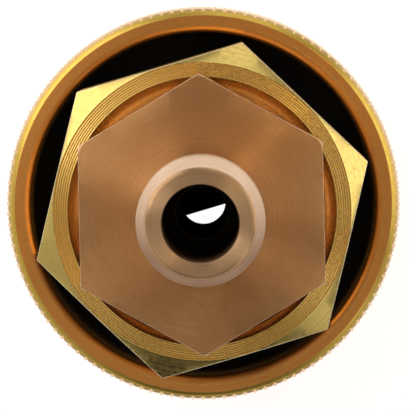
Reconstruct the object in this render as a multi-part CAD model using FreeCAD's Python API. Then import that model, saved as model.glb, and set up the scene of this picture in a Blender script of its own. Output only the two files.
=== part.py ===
"""In-line water pressure regulator for a camper's fresh water inlet.

The part stands on its inlet, with the flow running up +Z: a knurled swivel nut with a 3/4 inch hose
thread, a hexagonal regulator body, and a hexagonal outlet fitting that ends in a barbed hose tail.
Inside is a spring-opened hollow piston that closes on a rubber seat as the outlet pressure rises.
Origin: centre of the nut's mouth. Units: millimetres. One STEP file is written per piece.
"""

import math
import os

import FreeCAD
import Part

V = FreeCAD.Vector
Z_AXIS = V(0, 0, 1)
GAP = 0.05  # clearance between pieces that touch or slide in the real assembly

# ---- Driving dimensions: outside -------------------------------------------------------------
NUT_R = 17.3  # over the knurling
NUT_LENGTH = 21.0
NUT_EDGE = 0.75  # chamfer at each end of the knurling
THREAD_MINOR_R = 12.6  # 3/4-11.5 NH female thread, crest radius
RELIEF_R = 13.0  # washer seat behind the thread
SKIRT_BORE_R = 15.1  # open rear end of the nut, just over the body's corners
SKIRT_EDGE = 0.65
BODY_FLATS = 25.4  # 1 inch hexagon bar
BODY_TOP_ABOVE_NUT = 14.0
BODY_TURN = 16.6  # degrees that the body's corners are turned from +X
BODY_FACE_R = 12.65  # where the corner chamfer meets the body's end faces
CORNER_CHAMFER = 30.0  # degrees, on both hexagons
MOUTH_RECESS_R = 11.4  # dished recess round the outlet fitting
MOUTH_RECESS_DEPTH = 1.3
VENT_R = 0.8  # breathes the spring chamber
ARROW_LENGTH = 8.0  # flow arrow engraved on one of the body's flats
ARROW_DEPTH = 0.25
FITTING_FLATS = 20.4
FITTING_FACE_R = 11.5
FITTING_HEX_LENGTH = 6.5
FITTING_TURN = 31.2  # degrees that the outlet fitting's corners are turned from +X
TAIL_LENGTH = 14.5  # barbed hose tail
BARBS = 4
BARB_PITCH = 2.9
BARB_LAND = 0.3
BARB_CREST_R = 5.25
BARB_ROOT_R = 4.6
NOSE_LENGTH = 2.6  # from the tip down to the first barb's crest
NOSE_R = 4.35
NOSE_ROUND = 0.45
WATERWAY_R = 3.1

# ---- Driving dimensions: inside --------------------------------------------------------------
WASHER_R = 12.85
WASHER_BORE_R = 7.6
SCREEN_R = 6.3
SCREEN_RISE = 2.0
SCREEN_THICKNESS = 0.35
TAIL_FLANGE_R = 12.3
TAIL_NECK_R = 9.8
VALVE_CHAMBER_R = 6.8
TAIL_SEAL_SECTION = 1.1
STEM_R = 3.5
STEM_BORE_R = 2.1
STEM_SEAL_SECTION = 1.8
BACKUP_R = 5.0
SEAT_DISC_R = 4.0
SEAT_DISC_THICKNESS = 1.8
SEAT_CUP_R = 4.7
SEAT_SPOKES = 3
SEAT_SCREW_HEAD_R = 1.95
SEAT_SCREW_HEAD = 0.7
SEAT_SCREW_SHANK_R = 1.0
SEAT_SLOT_WIDTH = 0.7
SEAT_SLOT_DEPTH = 0.4
SEAT_SLOT_TURN = 16.6  # degrees that the screw's slot is turned from +X
CHAMBER_R = 9.0  # spring chamber
SPRING_WIRE_R = 0.75
SPRING_MEAN_R = 7.25
SPRING_TURNS = 4.5
SHIM_THICKNESS = 0.6
FITTING_SPIGOT_R = 10.0
OUTLET_SEAL_SECTION = 1.2
CYLINDER_R = 8.0  # bore that the piston head slides in
PISTON_HEAD_LENGTH = 5.4
HEAD_SEAL_SECTION = 1.8
PISTON_TRAVEL = 1.2
SWIVEL_FLOAT = 0.4  # axial play of the nut on its tailpiece
THRUST_WASHER_THICKNESS = 1.2

# ---- Sizes worked out from those -------------------------------------------------------------
TAIL_SPIGOT_R = CHAMBER_R - GAP
NUT_NECK_BORE_R = TAIL_NECK_R + 2 * GAP
HEAD_R = CYLINDER_R - 0.08
CLOSE = 0.02  # clearance of a pressed or squeezed piece

# ---- Levels along the axis, from the inlet up ------------------------------------------------
THREAD_START = 1.0
THREAD_END = 8.2
WASHER_BOTTOM = 8.3
SCREEN_BASE = WASHER_BOTTOM + 0.9
FLANGE_BOTTOM = 10.7
FLANGE_TOP = FLANGE_BOTTOM + 2.0
SHOULDER_BOTTOM = FLANGE_TOP + SWIVEL_FLOAT
SHOULDER_TOP = SHOULDER_BOTTOM + 2.0
BODY_BOTTOM = SHOULDER_TOP + THRUST_WASHER_THICKNESS + GAP
SEAT_HOLDER_BOTTOM = 12.4
SEAT_CUP_BOTTOM = 12.9
SEAT_TOP = 16.2
STEM_TIP = SEAT_TOP + PISTON_TRAVEL
TAIL_GROOVE_BOTTOM, TAIL_GROOVE_TOP = 17.0, 18.4
VALVE_CHAMBER_TOP = 18.2
STEM_GROOVE_BOTTOM, STEM_GROOVE_TOP = 19.0, 21.8
TAIL_SPIGOT_TOP = 21.5  # top of the inlet tailpiece, where the spring stands
GUIDE_TOP = 24.2
VENT_LEVEL = 25.5
FITTING_BOTTOM = 28.0
OUTLET_GROOVE_BOTTOM, OUTLET_GROOVE_TOP = 28.8, 30.4
BODY_TOP = NUT_LENGTH + BODY_TOP_ABOVE_NUT
CYLINDER_TOP = BODY_TOP + 2.5
HEAD_TOP = CYLINDER_TOP - GAP
HEAD_BOTTOM = HEAD_TOP - PISTON_HEAD_LENGTH
HEAD_GROOVE_BOTTOM, HEAD_GROOVE_TOP = HEAD_BOTTOM + 1.2, HEAD_BOTTOM + 4.0
HEX_TOP = BODY_TOP + FITTING_HEX_LENGTH
TOP = HEX_TOP + TAIL_LENGTH


# ---- Shape helpers ---------------------------------------------------------------------------
def turned(*points):
    """A solid of revolution about Z from its half section. A point is (r, z), or (r, z, mr, mz) where
    the stretch that leads to it is an arc through (mr, mz)."""
    edges = []
    for start, end in zip(points, points[1:] + points[:1]):
        a, b = V(start[0], 0, start[1]), V(end[0], 0, end[1])
        if len(end) == 4:
            edges.append(Part.Arc(a, V(end[2], 0, end[3]), b).toShape())
        else:
            edges.append(Part.makeLine(a, b))
    face = Part.Face(Part.Wire(edges))
    return face.revolve(V(0, 0, 0), Z_AXIS, 360)


def ring(inner, outer, bottom, top):
    """A plain ring or washer."""
    return turned((inner, bottom), (outer, bottom), (outer, top), (inner, top))


def hexagon(flats, bottom, top, turn):
    """A hexagonal prism, with a corner at turn degrees from +X."""
    corner_r = flats / 2 / math.cos(math.radians(30))
    angles = [math.radians(turn + 60 * i) for i in range(7)]
    outline = Part.makePolygon([V(corner_r * math.cos(a), corner_r * math.sin(a), bottom) for a in angles])
    return Part.Face(outline).extrude(V(0, 0, top - bottom))


def o_ring(inner, section, middle):
    """A toroidal seal of inner radius and section diameter, centred at height middle."""
    return Part.makeTorus(inner + section / 2, section / 2, V(0, 0, middle), Z_AXIS)


# ---- Swivel nut and what sits in its mouth ---------------------------------------------------
def swivel_nut():
    """Knurled nut: threaded mouth, washer seat, the shoulder that pulls on the tailpiece's flange, and
    an open skirt that reaches up round the body's hexagon."""
    return turned(
        (THREAD_MINOR_R + THREAD_START, 0),
        (NUT_R - NUT_EDGE, 0),
        (NUT_R, NUT_EDGE),
        (NUT_R, NUT_LENGTH - NUT_EDGE),
        (NUT_R - NUT_EDGE, NUT_LENGTH),
        (SKIRT_BORE_R + SKIRT_EDGE, NUT_LENGTH),
        (SKIRT_BORE_R, NUT_LENGTH - SKIRT_EDGE),
        (SKIRT_BORE_R, SHOULDER_TOP),
        (NUT_NECK_BORE_R, SHOULDER_TOP),
        (NUT_NECK_BORE_R, SHOULDER_BOTTOM),
        (RELIEF_R, SHOULDER_BOTTOM),
        (RELIEF_R, THREAD_END),
        (THREAD_MINOR_R, THREAD_END),
        (THREAD_MINOR_R, THREAD_START),
    )


def thrust_washer():
    """Nylon washer between the nut's shoulder and the body."""
    return ring(NUT_NECK_BORE_R, SKIRT_BORE_R - 5 * GAP, SHOULDER_TOP, BODY_BOTTOM - GAP)


def hose_washer():
    """Rubber sealing washer, snapped in behind the thread, with softened outer edges."""
    bottom, top, soft = WASHER_BOTTOM, FLANGE_BOTTOM, 0.4
    return turned(
        (WASHER_BORE_R, bottom),
        (WASHER_R - soft, bottom),
        (WASHER_R, bottom + soft),
        (WASHER_R, top - soft),
        (WASHER_R - soft, top),
        (WASHER_BORE_R, top),
    )


def screen_rim():
    """Stainless ring in the washer's bore that holds the screen."""
    flange = 0.6
    return ring(SCREEN_R, WASHER_BORE_R, SCREEN_BASE - flange, SCREEN_BASE + flange)


def screen_mesh():
    """Domed strainer that bulges up into the tailpiece."""
    base, rise, skin = SCREEN_BASE, SCREEN_RISE, SCREEN_THICKNESS
    dome_r = (SCREEN_R**2 + rise**2) / (2 * rise)
    centre = base + rise - dome_r
    half_r = SCREEN_R / 2
    inner_r = dome_r - skin
    foot_r = math.sqrt(inner_r**2 - (base - centre) ** 2)
    inner_half = foot_r / 2
    return turned(
        (0, centre + inner_r),
        (foot_r, base, inner_half, centre + math.sqrt(inner_r**2 - inner_half**2)),
        (SCREEN_R, base),
        (0, base + rise, half_r, centre + math.sqrt(dome_r**2 - half_r**2)),
    )


# ---- Inlet tailpiece and the valve seat in it ------------------------------------------------
def inlet_tail():
    """Flanged tailpiece: it screws up into the body, and its guide boss carries the piston's stem."""
    guide_r = STEM_R + GAP
    boss_r = SPRING_MEAN_R - SPRING_WIRE_R - 6 * GAP
    tail_groove_r = TAIL_SPIGOT_R - TAIL_SEAL_SECTION + GAP
    stem_groove_r = STEM_R + STEM_SEAL_SECTION + GAP
    edge = 0.5
    return turned(
        (VALVE_CHAMBER_R + edge, FLANGE_BOTTOM),
        (TAIL_FLANGE_R, FLANGE_BOTTOM),
        (TAIL_FLANGE_R, FLANGE_TOP),
        (TAIL_NECK_R, FLANGE_TOP),
        (TAIL_NECK_R, BODY_BOTTOM),
        (TAIL_SPIGOT_R, BODY_BOTTOM),
        (TAIL_SPIGOT_R, TAIL_GROOVE_BOTTOM),
        (tail_groove_r, TAIL_GROOVE_BOTTOM),
        (tail_groove_r, TAIL_GROOVE_TOP),
        (TAIL_SPIGOT_R, TAIL_GROOVE_TOP),
        (TAIL_SPIGOT_R, TAIL_SPIGOT_TOP),
        (boss_r, TAIL_SPIGOT_TOP),
        (boss_r, GUIDE_TOP - edge),
        (boss_r - edge, GUIDE_TOP),
        (guide_r, GUIDE_TOP),
        (guide_r, STEM_GROOVE_TOP),
        (stem_groove_r, STEM_GROOVE_TOP),
        (stem_groove_r, STEM_GROOVE_BOTTOM),
        (guide_r, STEM_GROOVE_BOTTOM),
        (guide_r, VALVE_CHAMBER_TOP),
        (VALVE_CHAMBER_R, VALVE_CHAMBER_TOP),
        (VALVE_CHAMBER_R, FLANGE_BOTTOM + edge),
    )


def tail_oring():
    """Seal round the tailpiece's spigot."""
    middle = (TAIL_GROOVE_BOTTOM + TAIL_GROOVE_TOP) / 2
    return o_ring(TAIL_SPIGOT_R - TAIL_SEAL_SECTION + GAP, TAIL_SEAL_SECTION - GAP, middle)


def stem_oring():
    """Seal round the piston's stem."""
    middle = STEM_GROOVE_BOTTOM + STEM_SEAL_SECTION / 2 + GAP
    return o_ring(STEM_R + GAP, STEM_SEAL_SECTION - 2 * GAP, middle)


def stem_backup_ring():
    """Flat ring that keeps the stem's seal from creeping into the spring chamber."""
    bottom = STEM_GROOVE_BOTTOM + STEM_SEAL_SECTION + 2 * GAP
    return ring(STEM_R + GAP, BACKUP_R, bottom, STEM_GROOVE_TOP - GAP)


def seat_holder():
    """Rim pressed into the tailpiece, and a cup for the rubber disc on spokes that let the water pass."""
    rim_r, rim_wall, rim_height = VALVE_CHAMBER_R - CLOSE, 0.9, 2.8
    spoke_width, spoke_depth, spoke_root = 1.8, 1.8, 0.5
    cup_floor = SEAT_TOP - SEAT_DISC_THICKNESS
    cup_lip = SEAT_TOP - 0.4
    rim = ring(rim_r - rim_wall, rim_r, SEAT_HOLDER_BOTTOM, SEAT_HOLDER_BOTTOM + rim_height)
    cup = turned(
        (SEAT_SCREW_SHANK_R, SEAT_CUP_BOTTOM),
        (SEAT_CUP_R, SEAT_CUP_BOTTOM),
        (SEAT_CUP_R, cup_lip),
        (SEAT_DISC_R, cup_lip),
        (SEAT_DISC_R, cup_floor),
        (SEAT_SCREW_SHANK_R, cup_floor),
    )
    holder = rim.fuse(cup)
    for i in range(SEAT_SPOKES):
        start = V(SEAT_CUP_R - spoke_root, -spoke_width / 2, SEAT_CUP_BOTTOM)
        spoke = Part.makeBox(rim_r - SEAT_CUP_R, spoke_width, spoke_depth, start)
        spoke.rotate(V(0, 0, 0), Z_AXIS, 360 / SEAT_SPOKES * i)
        holder = holder.fuse(spoke)
    return holder.removeSplitter()


def seat_disc():
    """Rubber disc that the stem's lip closes on."""
    head_floor = SEAT_TOP - GAP - SEAT_SCREW_HEAD
    return turned(
        (SEAT_SCREW_SHANK_R, SEAT_TOP - SEAT_DISC_THICKNESS),
        (SEAT_DISC_R, SEAT_TOP - SEAT_DISC_THICKNESS),
        (SEAT_DISC_R, SEAT_TOP),
        (SEAT_SCREW_HEAD_R, SEAT_TOP),
        (SEAT_SCREW_HEAD_R, head_floor),
        (SEAT_SCREW_SHANK_R, head_floor),
    )


def seat_screw():
    """Slotted screw that holds the disc in its cup. Its slot is a little off centre."""
    head_top = SEAT_TOP - GAP
    screw = turned(
        (0, SEAT_CUP_BOTTOM),
        (SEAT_SCREW_SHANK_R, SEAT_CUP_BOTTOM),
        (SEAT_SCREW_SHANK_R, head_top - SEAT_SCREW_HEAD),
        (SEAT_SCREW_HEAD_R, head_top - SEAT_SCREW_HEAD),
        (SEAT_SCREW_HEAD_R, head_top),
        (0, head_top),
    )
    length, near_side = 3 * SEAT_SCREW_HEAD_R, -0.1
    start = V(-length / 2, near_side, head_top - SEAT_SLOT_DEPTH)
    slot = Part.makeBox(length, SEAT_SLOT_WIDTH, 2 * SEAT_SLOT_DEPTH, start)
    slot.rotate(V(0, 0, 0), Z_AXIS, SEAT_SLOT_TURN)
    return screw.cut(slot)


# ---- Body and outlet fitting -----------------------------------------------------------------
def corner_cone(flats, bottom, top, face_r, both_ends):
    """The turned envelope that chamfers a hexagon's corners, from face_r at its end faces."""
    corner_r = flats / 2 / math.cos(math.radians(30)) + 0.5
    drop = (corner_r - face_r) * math.tan(math.radians(CORNER_CHAMFER))
    lower = [(face_r, bottom), (corner_r, bottom + drop)] if both_ends else [(corner_r, bottom)]
    return turned((0, bottom), *lower, (corner_r, top - drop), (face_r, top), (0, top))


def flow_arrow():
    """Cutter for the arrow on the flat next to the vent, which points the way the water flows."""
    shaft, barb = 0.9, 2.2  # half widths
    bottom = (NUT_LENGTH + BODY_TOP - ARROW_LENGTH) / 2
    neck, tip = bottom + ARROW_LENGTH * 0.6, bottom + ARROW_LENGTH
    right = [(shaft, bottom), (shaft, neck), (barb, neck)]
    left = [(-y, z) for y, z in reversed(right)]
    outline = [*right, (0, tip), *left, right[0]]
    wire = Part.makePolygon([V(BODY_FLATS / 2 - ARROW_DEPTH, y, z) for y, z in outline])
    arrow = Part.Face(wire).extrude(V(1, 0, 0))
    arrow.rotate(V(0, 0, 0), Z_AXIS, BODY_TURN - 90)
    return arrow


def regulator_body():
    """Hexagonal body: the spring chamber, open below for the tailpiece and above for the fitting."""
    hex_bar = hexagon(BODY_FLATS, BODY_BOTTOM, BODY_TOP, BODY_TURN)
    envelope = corner_cone(BODY_FLATS, BODY_BOTTOM, BODY_TOP, BODY_FACE_R, True)
    upper_r = FITTING_SPIGOT_R + GAP
    recess_floor = BODY_TOP - MOUTH_RECESS_DEPTH
    dish = MOUTH_RECESS_R - upper_r
    cavity = turned(
        (0, BODY_BOTTOM - 1),
        (CHAMBER_R, BODY_BOTTOM - 1),
        (CHAMBER_R, FITTING_BOTTOM - GAP),
        (upper_r, FITTING_BOTTOM - GAP),
        (upper_r, recess_floor),
        (MOUTH_RECESS_R, BODY_TOP, upper_r + 0.7 * dish, BODY_TOP - 0.7 * MOUTH_RECESS_DEPTH),
        (MOUTH_RECESS_R, BODY_TOP + 1),
        (0, BODY_TOP + 1),
    )
    vent = Part.makeCylinder(VENT_R, BODY_FLATS, V(0, 0, VENT_LEVEL), V(1, 0, 0))
    vent.rotate(V(0, 0, 0), Z_AXIS, BODY_TURN - 150)
    return hex_bar.common(envelope).cut(cavity).cut(vent).cut(flow_arrow())


def outlet_fitting():
    """Hexagonal fitting: its threaded skirt is the piston's cylinder, and its tail takes a hose."""
    bulge = 1 - math.sqrt(0.5)  # how far a quarter round's middle stays inside its corner
    corner = NOSE_ROUND * bulge
    outline = [(NOSE_R - NOSE_ROUND, TOP), (NOSE_R, TOP - NOSE_ROUND, NOSE_R - corner, TOP - corner)]
    for i in range(BARBS):
        crest = TOP - NOSE_LENGTH - i * BARB_PITCH
        heel = crest - BARB_LAND
        outline += [(BARB_CREST_R, crest), (BARB_CREST_R, heel), (BARB_ROOT_R, heel - BARB_LAND)]
    root_fillet = 0.5
    fillet_corner = root_fillet * bulge
    outline += [
        (BARB_ROOT_R, HEX_TOP + root_fillet),
        (BARB_ROOT_R + root_fillet, HEX_TOP, BARB_ROOT_R + fillet_corner, HEX_TOP + fillet_corner),
    ]
    tail = turned((0, HEX_TOP - 1), (0, TOP), *outline, (BARB_ROOT_R + root_fillet, HEX_TOP - 1))
    hex_head = hexagon(FITTING_FLATS, BODY_TOP, HEX_TOP, FITTING_TURN)
    envelope = corner_cone(FITTING_FLATS, BODY_TOP, HEX_TOP, FITTING_FACE_R, False)
    groove_r = FITTING_SPIGOT_R - OUTLET_SEAL_SECTION + GAP
    lead_in = 0.4
    skirt = turned(
        (0, FITTING_BOTTOM),
        (FITTING_SPIGOT_R - lead_in, FITTING_BOTTOM),
        (FITTING_SPIGOT_R, FITTING_BOTTOM + lead_in),
        (FITTING_SPIGOT_R, OUTLET_GROOVE_BOTTOM),
        (groove_r, OUTLET_GROOVE_BOTTOM),
        (groove_r, OUTLET_GROOVE_TOP),
        (FITTING_SPIGOT_R, OUTLET_GROOVE_TOP),
        (FITTING_SPIGOT_R, BODY_TOP),
        (0, BODY_TOP),
    )
    mouth = 0.35
    bore = turned(
        (0, FITTING_BOTTOM - 1),
        (CYLINDER_R, FITTING_BOTTOM - 1),
        (CYLINDER_R, CYLINDER_TOP),
        (WATERWAY_R, CYLINDER_TOP),
        (WATERWAY_R, TOP - mouth),
        (WATERWAY_R + mouth, TOP),
        (WATERWAY_R + mouth, TOP + 1),
        (0, TOP + 1),
    )
    return hex_head.common(envelope).fuse(skirt).fuse(tail).cut(bore).removeSplitter()


def outlet_oring():
    """Seal round the outlet fitting's skirt."""
    middle = (OUTLET_GROOVE_BOTTOM + OUTLET_GROOVE_TOP) / 2
    return o_ring(FITTING_SPIGOT_R - OUTLET_SEAL_SECTION + GAP, OUTLET_SEAL_SECTION - GAP, middle)


# ---- Piston and spring -----------------------------------------------------------------------
def piston_stem():
    """Hollow stem that carries the water, with a lip at its foot that closes on the rubber disc."""
    lip = 0.5
    return turned(
        (STEM_BORE_R, STEM_TIP),
        (STEM_BORE_R + lip, STEM_TIP),
        (STEM_R, STEM_TIP + lip),
        (STEM_R, HEAD_TOP),
        (STEM_BORE_R + lip, HEAD_TOP),
        (STEM_BORE_R, HEAD_TOP - lip),
    )


def piston_head():
    """Head that the outlet pressure pushes on, pressed onto the stem."""
    groove_r = HEAD_R - HEAD_SEAL_SECTION
    edge = 0.3
    return turned(
        (STEM_R, HEAD_BOTTOM),
        (HEAD_R - edge, HEAD_BOTTOM),
        (HEAD_R, HEAD_BOTTOM + edge),
        (HEAD_R, HEAD_GROOVE_BOTTOM),
        (groove_r, HEAD_GROOVE_BOTTOM),
        (groove_r, HEAD_GROOVE_TOP),
        (HEAD_R, HEAD_GROOVE_TOP),
        (HEAD_R, HEAD_TOP - edge),
        (HEAD_R - edge, HEAD_TOP),
        (STEM_R, HEAD_TOP),
    )


def head_oring():
    """Seal round the piston's head."""
    inner = HEAD_R - HEAD_SEAL_SECTION + CLOSE
    return o_ring(inner, HEAD_SEAL_SECTION - GAP, HEAD_GROOVE_TOP - HEAD_SEAL_SECTION / 2 - GAP)


def head_backup_ring():
    """Flat ring under the head's seal, on the side away from the pressure."""
    bottom, thickness = HEAD_GROOVE_BOTTOM + GAP, 0.7
    return ring(HEAD_R - HEAD_SEAL_SECTION + CLOSE, HEAD_R - CLOSE, bottom, bottom + thickness)


def spring_shim():
    """Steel washer under the spring, chosen at assembly to set the outlet pressure."""
    inner, outer = SPRING_MEAN_R - SPRING_WIRE_R - 4 * GAP, CHAMBER_R - 3 * GAP
    return ring(inner, outer, TAIL_SPIGOT_TOP, TAIL_SPIGOT_TOP + SHIM_THICKNESS)


def spring():
    """Compression spring that holds the piston open, drawn at its fitted length."""
    seating = SPRING_WIRE_R + CLOSE
    bottom = TAIL_SPIGOT_TOP + SHIM_THICKNESS + seating
    height = HEAD_BOTTOM - seating - bottom
    path = Part.makeHelix(height / SPRING_TURNS, height, SPRING_MEAN_R)
    section = Part.Wire(Part.makeCircle(SPRING_WIRE_R, V(SPRING_MEAN_R, 0, 0), V(0, 1, 0)))
    coil = Part.Wire(path).makePipeShell([section], True, True)
    coil.translate(V(0, 0, bottom))
    return coil


PIECES = [
    swivel_nut,
    thrust_washer,
    hose_washer,
    screen_rim,
    screen_mesh,
    inlet_tail,
    tail_oring,
    stem_oring,
    stem_backup_ring,
    seat_holder,
    seat_disc,
    seat_screw,
    regulator_body,
    outlet_fitting,
    outlet_oring,
    piston_stem,
    piston_head,
    head_oring,
    head_backup_ring,
    spring_shim,
    spring,
]


def main():
    os.makedirs("parts", exist_ok=True)
    for make in PIECES:
        shape = make()
        solids = [solid if solid.Volume > 0 else solid.reversed() for solid in shape.Solids]
        shape = solids[0] if len(solids) == 1 else Part.makeCompound(solids)
        shape.exportStep(f"parts/{make.__name__}.step")
        print(f"{make.__name__:18} {shape.Volume:9.1f} mm3, valid {shape.isValid()}, solids {len(solids)}")


main()
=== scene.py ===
# %% [markdown]
# # A brass water pressure regulator
#
# The real part is a handful of brass turned on a lathe: a knurled swivel nut, a body made from
# hexagon bar, and a smaller hexagonal fitting with a barbed hose tail. Inside are a piston, a
# spring and some seals. The design's frame already holds every piece in its place. This lesson
# loads it, models the pieces that need finer shapes, and gives each piece the finish that its
# maker gave it.

# %% Load the frame
import math

import bmesh
import bpy
from mathutils import Matrix, Vector


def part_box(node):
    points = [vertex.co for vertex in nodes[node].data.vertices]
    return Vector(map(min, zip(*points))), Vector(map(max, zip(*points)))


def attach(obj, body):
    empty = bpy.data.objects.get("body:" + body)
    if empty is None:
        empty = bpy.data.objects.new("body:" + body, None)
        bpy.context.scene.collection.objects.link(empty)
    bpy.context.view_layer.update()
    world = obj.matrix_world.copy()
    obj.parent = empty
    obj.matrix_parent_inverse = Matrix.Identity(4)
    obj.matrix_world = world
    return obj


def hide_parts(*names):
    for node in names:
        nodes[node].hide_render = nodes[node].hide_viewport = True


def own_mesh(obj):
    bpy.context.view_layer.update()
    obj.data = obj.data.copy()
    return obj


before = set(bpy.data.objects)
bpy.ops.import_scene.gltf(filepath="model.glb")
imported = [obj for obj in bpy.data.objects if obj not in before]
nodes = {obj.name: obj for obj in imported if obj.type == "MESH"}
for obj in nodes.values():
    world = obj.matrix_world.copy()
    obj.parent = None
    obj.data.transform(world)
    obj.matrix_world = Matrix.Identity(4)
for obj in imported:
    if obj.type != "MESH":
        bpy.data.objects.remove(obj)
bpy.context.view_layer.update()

MM = 0.001
print("nodes:", len(nodes))

# %% [markdown]
# ## Where things are
#
# Every level and radius comes from the frame, so the fine pieces fit the design. All sizes below
# are in millimetres, because that is how a lathe hand reads a drawing, and they become metres
# when a vertex is made.

# %% Read the design's levels
def low(node):
    """The lowest level of a node, in mm."""
    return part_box(node)[0].z / MM


def high(node):
    """The highest level of a node, in mm."""
    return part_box(node)[1].z / MM


def radius(node):
    """The radius of a round node, in mm."""
    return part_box(node)[1].x / MM


NUT_R, NUT_TOP = radius("swivel_nut"), high("swivel_nut")
BODY_LOW, BODY_TOP = low("regulator_body"), high("regulator_body")
FITTING_LOW, TIP = low("outlet_fitting"), high("outlet_fitting")
CYLINDER_TOP = high("piston_head") + 0.05
WASHER_LOW = low("hose_washer")
print(f"nut {NUT_R:.2f} x {NUT_TOP:.2f}, body {BODY_LOW:.2f} to {BODY_TOP:.2f}, tip {TIP:.2f} mm")

# %% [markdown]
# ## The lathe
#
# Most of these shapes are turned, so they start as a half section: a few vertices joined by
# edges, in the plane y = 0. A vertex bevel breaks the section's corners, as a turner does with a
# file, and a full spin makes the solid. Corners that are broken before the spin cost nothing and
# stay perfectly round.

# %% A half section, and the spin
def soften(bm, geometry, size, affect, clamp=False):
    """Rounds vertices or edges by size, in mm."""
    bmesh.ops.bevel(
        bm,
        geom=geometry,
        offset=size * MM,
        affect=affect,
        segments=2,
        profile=0.5,
        material=-1,
        clamp_overlap=clamp,
    )


def section(points, edge_break):
    """A closed half section from (r, z) points in mm, its corners rounded by edge_break."""
    bm = bmesh.new()
    corners = [bm.verts.new((r * MM, 0, z * MM)) for r, z in points]
    for a, b in zip(corners, corners[1:] + corners[:1]):
        bm.edges.new((a, b))
    if edge_break:
        soften(bm, corners, edge_break, "VERTICES")
    return bm


def spin_full(bm, steps):
    """Turns the section into a closed solid."""
    geometry = bm.verts[:] + bm.edges[:]
    bmesh.ops.spin(
        bm,
        geom=geometry,
        cent=(0, 0, 0),
        axis=(0, 0, 1),
        angle=math.tau,
        steps=steps,
        use_merge=True,
    )
    bmesh.ops.remove_doubles(bm, verts=bm.verts[:], dist=0.001 * MM)
    bmesh.ops.recalc_face_normals(bm, faces=bm.faces[:])


def spin_climbing(bm, geometry, turns, steps, lift):
    """Turns a small section about Z and lifts it, in mm, at each step."""
    bmesh.ops.spin(
        bm,
        geom=geometry,
        cent=(0, 0, 0),
        axis=(0, 0, 1),
        dvec=(0, 0, lift * MM),
        angle=math.tau * turns,
        steps=steps,
    )
    bmesh.ops.recalc_face_normals(bm, faces=bm.faces[:])


def quarter(centre_r, centre_z, size, start, stop, steps=5):
    """Points on an arc, with its angles in degrees from +r towards +z."""
    angles = [math.radians(start + (stop - start) * i / steps) for i in range(steps + 1)]
    return [(centre_r + size * math.cos(a), centre_z + size * math.sin(a)) for a in angles]


# %% [markdown]
# ## From mesh to finished piece
#
# A finished piece rides on its body and takes the place of its plain design node. Faces are
# shaded smooth, real corners stay sharp, and a weighted normal modifier keeps the large faces
# looking flat right up to their rounded edges.

# %% Finish a piece
SHARP_ANGLE = math.radians(25)


def finish_piece(bm, name, body, replaced=None):
    """Makes the object, and says what it is in the frame."""
    for face in bm.faces:
        face.smooth = True
    for edge in bm.edges:
        if len(edge.link_faces) == 2 and edge.calc_face_angle(0) > SHARP_ANGLE:
            edge.smooth = False
    mesh = bpy.data.meshes.new(name)
    bm.to_mesh(mesh)
    open_edges = sum(1 for edge in bm.edges if len(edge.link_faces) != 2)
    bm.free()
    piece = bpy.data.objects.new(name, mesh)
    bpy.context.scene.collection.objects.link(piece)
    weighted = piece.modifiers.new("flat faces stay flat", "WEIGHTED_NORMAL")
    weighted.keep_sharp = True
    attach(piece, body)
    if replaced:
        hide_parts(replaced)
    triangles = sum(len(p.vertices) - 2 for p in mesh.polygons)
    print(f"{name}: {triangles} triangles, {open_edges} open edges")
    return piece


# %% [markdown]
# ## The swivel nut
#
# The nut is a cup that is open at both ends. One half section holds all of it: the chamfers at
# the knurling's ends, the rounded lip round the body, the shoulder that pulls on the tailpiece
# and the bore of the thread. It is spun with one step for each diamond of the knurling.

# %% Turn the nut
KNURLS = 116  # diamonds round the nut
KNURL_ROWS = 12
KNURL_DEPTH = 0.38
KNURL_FLANK = 0.31  # how far a diamond's flank reaches in
CHAMFER_R = NUT_R - 0.75  # inner edge of the chamfer at the knurling's ends
ROOT_R = NUT_R - KNURL_DEPTH
CHAMFER_DROP = 0.22
SKIRT_R = radius("thrust_washer") + 0.25
SKIRT_EDGE = 0.65
SHOULDER_LOW, SHOULDER_TOP = low("thrust_washer") - 2.0, low("thrust_washer")
RELIEF_R, NECK_R = 13.0, 9.9
THREAD_ROOT_R, THREAD_CREST_R = 13.5, 12.6
THREAD_PITCH = 25.4 / 11.5

nut_section = section(
    [
        (THREAD_ROOT_R + 0.6, 0),
        (CHAMFER_R, 0),
        (ROOT_R, CHAMFER_DROP),
        (ROOT_R, NUT_TOP - CHAMFER_DROP),
        (CHAMFER_R, NUT_TOP),
        *quarter(SKIRT_R + SKIRT_EDGE, NUT_TOP - SKIRT_EDGE, SKIRT_EDGE, 90, 180),
        (SKIRT_R, SHOULDER_TOP),
        (NECK_R, SHOULDER_TOP),
        (NECK_R, SHOULDER_LOW),
        (RELIEF_R, SHOULDER_LOW),
        (RELIEF_R, WASHER_LOW - 0.1),
        (THREAD_ROOT_R, WASHER_LOW - 0.5),
        (THREAD_ROOT_R, 0.6),
    ],
    edge_break=0.06,
)
spin_full(nut_section, KNURLS)
print("turned nut:", len(nut_section.faces), "faces")

# %% [markdown]
# ### The knurling
#
# Knurling is pressed by two wheels whose teeth cross, which leaves rows of small diamonds. They
# would be slow to model one by one, but the lattice hides in a plain grid: poke every square of
# the outer wall, then dissolve the old edges, and what is left between the centres is a lattice
# of diamonds. An inset with a depth raises each one into a blunt pyramid.

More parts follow.
